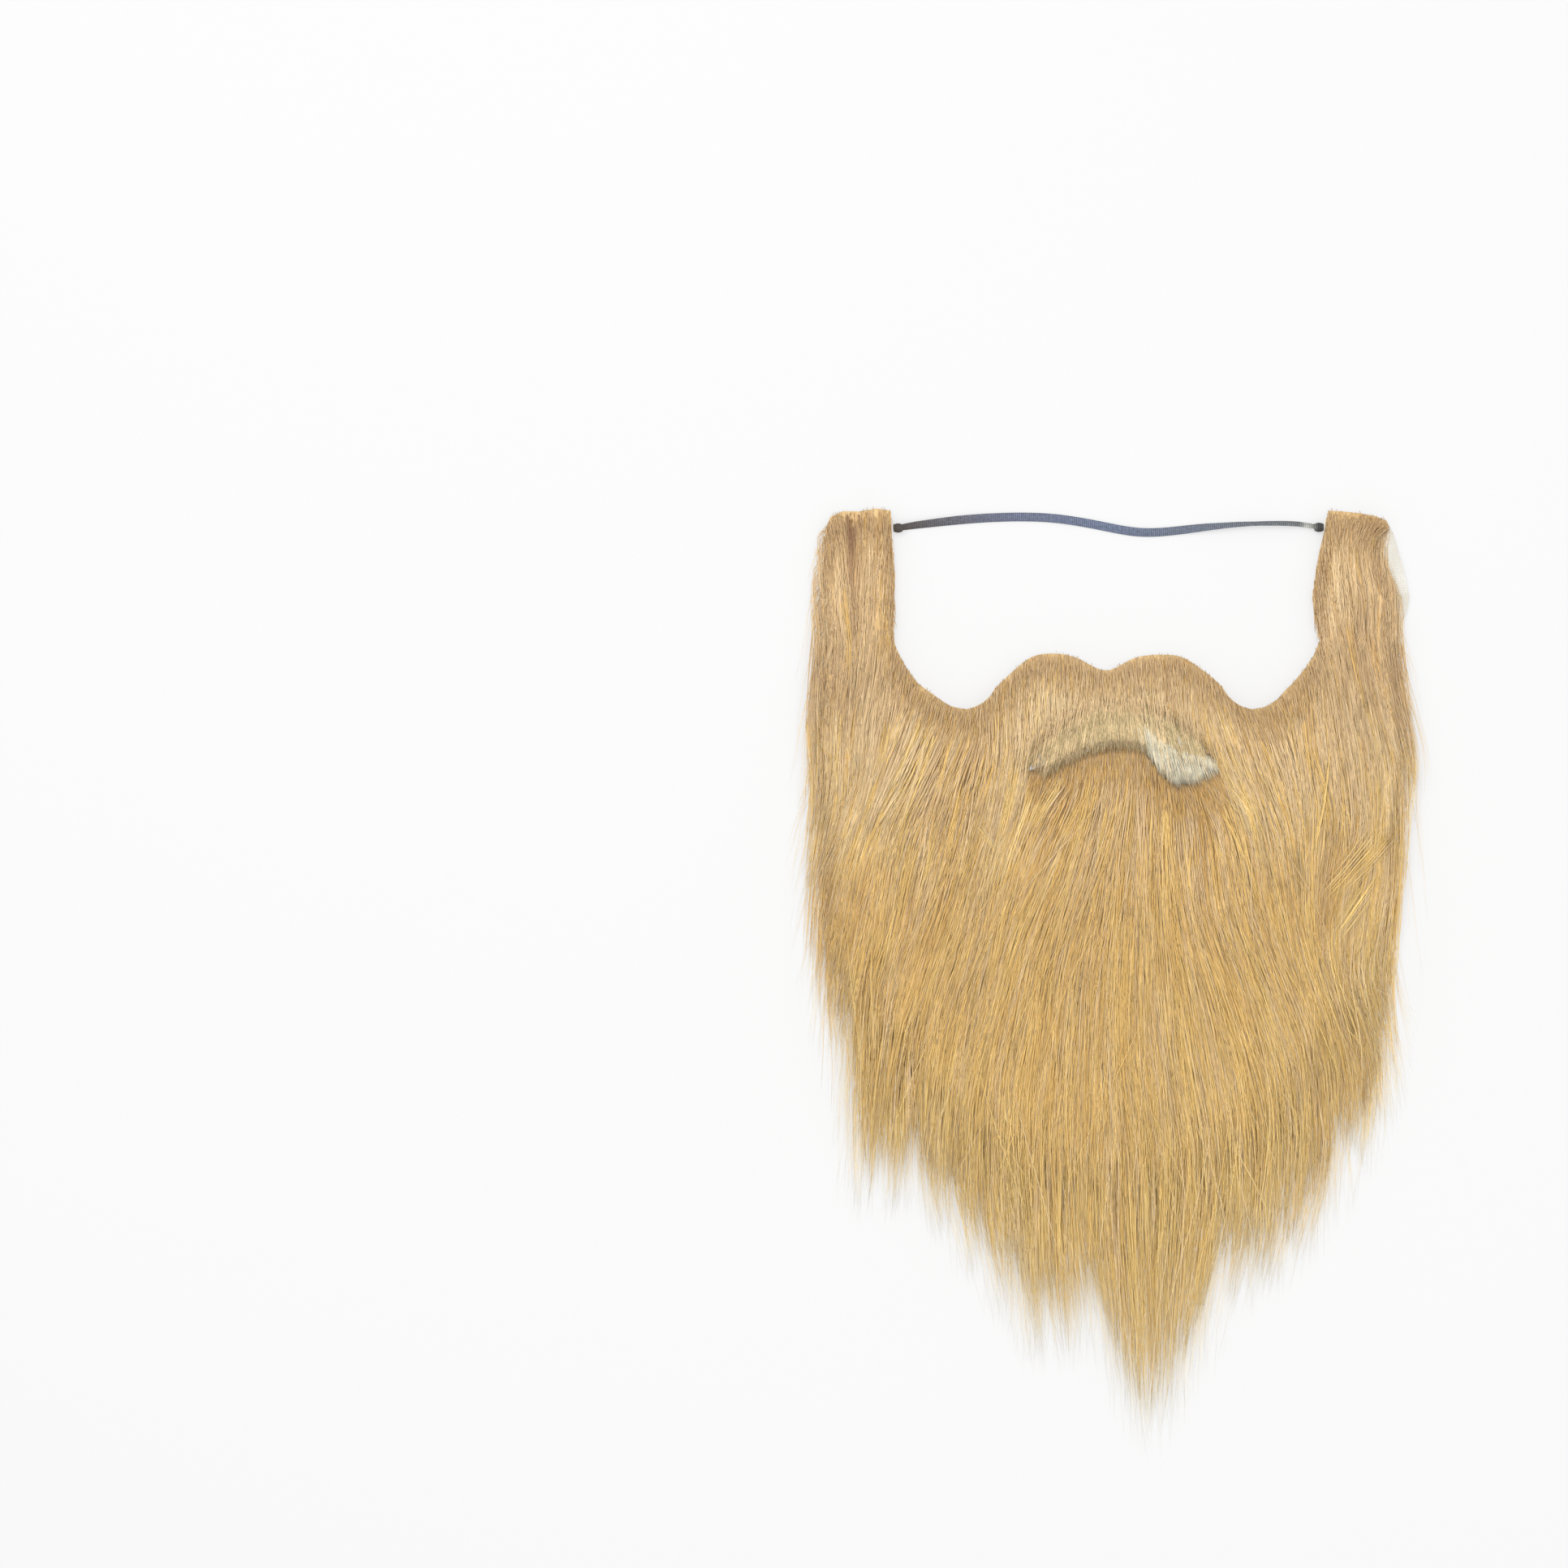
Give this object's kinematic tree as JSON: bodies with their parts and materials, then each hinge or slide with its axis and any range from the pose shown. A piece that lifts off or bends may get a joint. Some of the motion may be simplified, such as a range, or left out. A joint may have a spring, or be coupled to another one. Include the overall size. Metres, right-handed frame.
{
  "type": "fake beard",
  "caption": "Long full false beard of combed fur fabric with moustache, mouth slit and sideburns joined by an elastic, lying face up.",
  "frame": {"origin": "underside of the backing cloth, at the middle of the upper lip", "axes": "+Y up the face towards the sideburn tips, +X to the right seen from the fur side, +Z out of the fur"},
  "size_m": [0.283, 0.4204, 0.0262],
  "materials": {
    "blond_fur": "long combed synthetic pile, soft sheen",
    "backing_knit": "plain knitted ground, matt",
    "elastic": "woven elastic, matt"
  },
  "bodies": {
    "root": {"backing_cloth": "backing_knit", "beard_fur": "blond_fur", "moustache_fur": "blond_fur", "sideburn_fur_left": "blond_fur", "sideburn_fur_right": "blond_fur", "elastic_cord": "elastic", "cord_knot_left": "elastic", "cord_knot_right": "elastic"}
  },
  "joints": []
}
